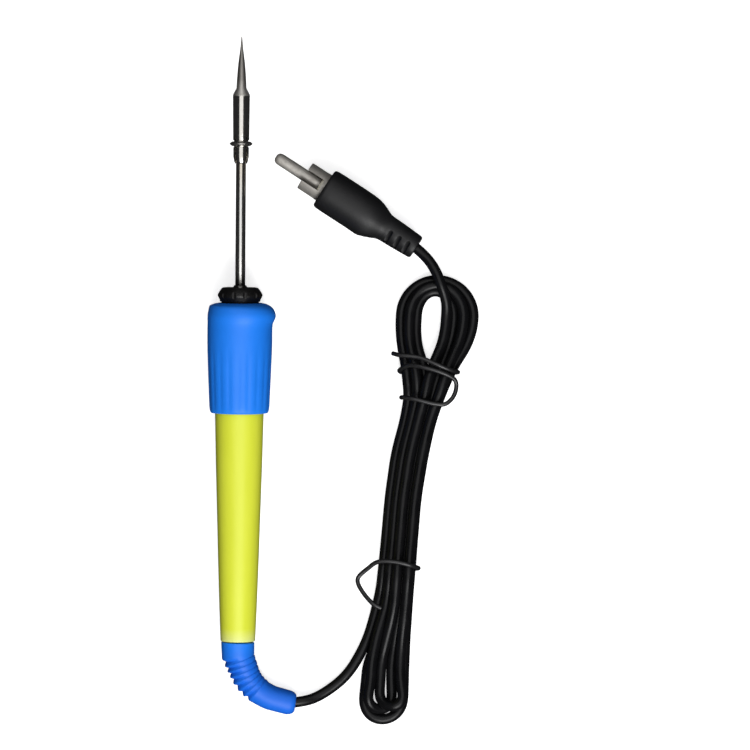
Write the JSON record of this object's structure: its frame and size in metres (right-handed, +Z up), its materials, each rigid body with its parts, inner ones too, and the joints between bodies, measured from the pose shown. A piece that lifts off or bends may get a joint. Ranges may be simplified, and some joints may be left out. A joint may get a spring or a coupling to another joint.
{
  "type": "soldering iron",
  "caption": "Slim soldering iron: conical bit on a thin shaft, ringed soft grip, tapered tube handle, ribbed boot and a tied lead ending in a phono plug.",
  "frame": {"origin": "on the bench, under the middle of the iron's own box, its lead left out", "axes": "+Y along the iron towards the bit, +Z up from the bench, +X towards the tied lead"},
  "size_m": [0.0718, 0.1817, 0.0185],
  "materials": {
    "bit_plating": "polished iron and nickel plating",
    "spring_steel": "bright spring steel",
    "stainless": "drawn stainless tube",
    "ceramic": "unglazed steatite",
    "mica": "rolled mica",
    "resistance_wire": "oxidised nickel-chromium wire",
    "black_phenolic": "moulded black phenolic",
    "brass": "turned brass",
    "yellow_plastic": "moulded fluorescent yellow plastic",
    "blue_soft_plastic": "soft moulded blue plastic",
    "copper": "tinned copper crimp",
    "red_sleeving": "woven glass sleeving",
    "cord_jacket": "glossy black PVC jacket",
    "tie_jacket": "plastic-coated wire",
    "plug_plastic": "moulded black PVC",
    "nickel": "nickel-plated brass",
    "plug_insulator": "moulded natural nylon"
  },
  "bodies": {
    "handle": {"heater_sheath": "stainless", "heater_core": "ceramic", "mica_sleeve": "mica", "heater_winding": "resistance_wire", "heater_lead_a": "resistance_wire", "heater_lead_b": "resistance_wire", "element_flange": "stainless", "nose_insert": "brass", "lead_insulator": "ceramic", "handle_shell": "yellow_plastic", "grip_sleeve": "blue_soft_plastic", "splice_a": "copper", "splice_sleeve_a": "red_sleeving", "core_wire_a": "red_sleeving", "splice_b": "copper", "splice_sleeve_b": "red_sleeving", "core_wire_b": "red_sleeving", "cable_clamp": "copper", "cord_boot": "blue_soft_plastic", "cord_inner": "cord_jacket", "cord_lead_in": "cord_jacket", "cord_plug_lead": "cord_jacket", "cord_hank": "cord_jacket", "hank_tie_upper": "tie_jacket", "hank_tie_lower": "tie_jacket", "plug_body": "plug_plastic", "plug_shell": "nickel", "plug_insulator": "plug_insulator", "plug_pin": "nickel"},
    "bit": {"bit": "bit_plating", "bit_retaining_ring": "spring_steel"},
    "collar_nut": {"collar_nut": "black_phenolic"}
  },
  "joints": [
    {"name": "bit_pull_off", "type": "slide", "parent": "handle", "child": "bit", "axis": [0, 0.9987, 0.0515], "range_m": [0, 0.022]},
    {"name": "collar_nut_turn", "type": "hinge", "parent": "handle", "child": "collar_nut", "pos_m": [0, 0.0119, 0.00944], "axis": [0, 0.9987, 0.0515], "continuous": true}
  ]
}
